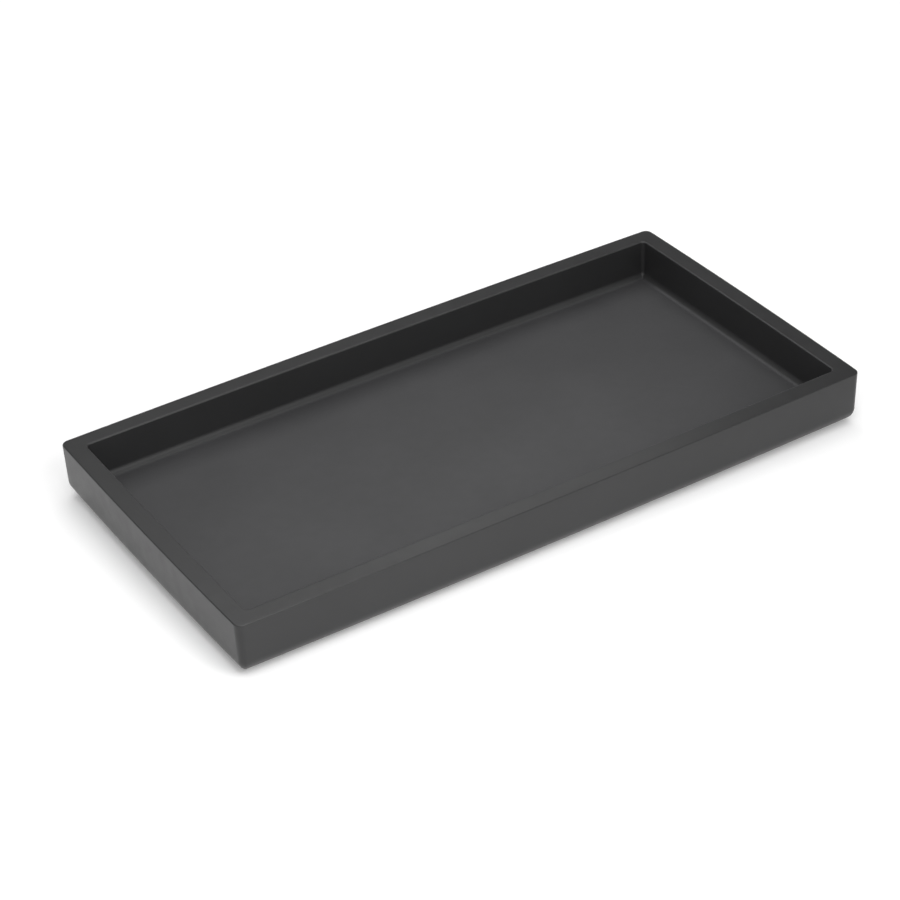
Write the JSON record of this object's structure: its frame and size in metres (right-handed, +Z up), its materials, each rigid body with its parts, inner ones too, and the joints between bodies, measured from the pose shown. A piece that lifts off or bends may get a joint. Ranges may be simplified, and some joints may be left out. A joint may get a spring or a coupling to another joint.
{
  "type": "silicone tray",
  "caption": "Shallow rectangular silicone tray with thick straight walls and a flat rim, stiffened by a steel pan inside and standing on push-in feet",
  "frame": {"origin": "on the table, under the middle of the tray", "axes": "+Z is up, +X runs along the tray to its right end, and -Y is its front"},
  "size_m": [0.3016, 0.1536, 0.0257],
  "materials": {
    "silicone": "matte",
    "pad_silicone": "matte",
    "foot_rubber": "matte",
    "stainless_steel": "satin"
  },
  "bodies": {
    "root": {"tray_body": "silicone", "core_pan": "stainless_steel", "base_pad": "pad_silicone", "foot_front_left": "foot_rubber", "foot_front_right": "foot_rubber", "foot_back_left": "foot_rubber", "foot_back_right": "foot_rubber"}
  },
  "joints": []
}
